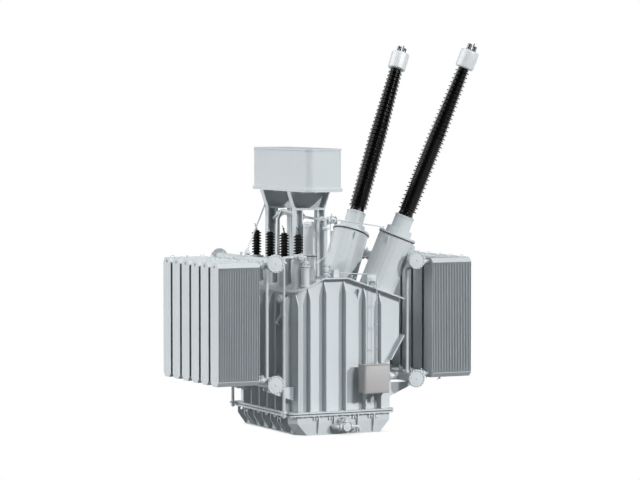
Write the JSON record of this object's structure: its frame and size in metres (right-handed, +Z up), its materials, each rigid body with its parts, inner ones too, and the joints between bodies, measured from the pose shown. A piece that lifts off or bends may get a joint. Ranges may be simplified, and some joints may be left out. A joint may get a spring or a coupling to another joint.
{
  "type": "power transformer",
  "caption": "Oil-filled power transformer: ribbed tank on a tray, radiator banks on both sides, conservator on a stand, slanted high-voltage and upright low-voltage bushings.",
  "frame": {"origin": "on the ground under the middle of the tank", "axes": "+Z up, Y along the tank and the radiator banks, -Y the end with the control cabinet, +X the side that the high-voltage bushings lean to"},
  "size_m": [7.8548, 4.6978, 10.6742],
  "materials": {
    "grey_paint": "light grey satin enamel on steel",
    "cabinet_paint": "warm grey satin powder coat on steel",
    "silicone": "black silicone rubber, slightly glossy",
    "cast_aluminium": "light grey, smooth"
  },
  "bodies": {
    "root": {"base_tray": "grey_paint", "tank": "grey_paint", "tank_cover": "grey_paint", "radiator_left_1": "grey_paint", "radiator_left_2": "grey_paint", "radiator_left_3": "grey_paint", "radiator_left_4": "grey_paint", "radiator_left_5": "grey_paint", "radiator_left_6": "grey_paint", "radiator_right_1": "grey_paint", "radiator_right_2": "grey_paint", "radiator_right_3": "grey_paint", "radiator_right_4": "grey_paint", "radiator_right_5": "grey_paint", "radiator_right_6": "grey_paint", "header_left_top": "grey_paint", "header_left_bottom": "grey_paint", "header_right_top": "grey_paint", "header_right_bottom": "grey_paint", "header_post_left": "grey_paint", "header_post_right": "grey_paint", "oil_pipe_front": "grey_paint", "oil_pipe_rear": "grey_paint", "conservator": "grey_paint", "conservator_support_front": "grey_paint", "conservator_support_rear": "grey_paint", "hv_turret_front": "grey_paint", "hv_turret_rear": "grey_paint", "hv_bushing_front": "silicone", "hv_bushing_rear": "silicone", "hv_cap_front": "cast_aluminium", "hv_cap_rear": "cast_aluminium", "lv_turret_1": "grey_paint", "lv_turret_2": "grey_paint", "lv_turret_3": "grey_paint", "lv_turret_4": "grey_paint", "lv_bushing_1": "silicone", "lv_bushing_2": "silicone", "lv_bushing_3": "silicone", "lv_bushing_4": "silicone", "relief_column": "grey_paint", "neutral_turret": "grey_paint", "relay_pipe": "grey_paint", "gas_relay": "grey_paint", "vent_pipe": "grey_paint", "breather_pipe": "grey_paint", "control_cabinet": "cabinet_paint", "cabinet_conduit": "grey_paint", "drain_valve": "grey_paint"}
  },
  "joints": []
}
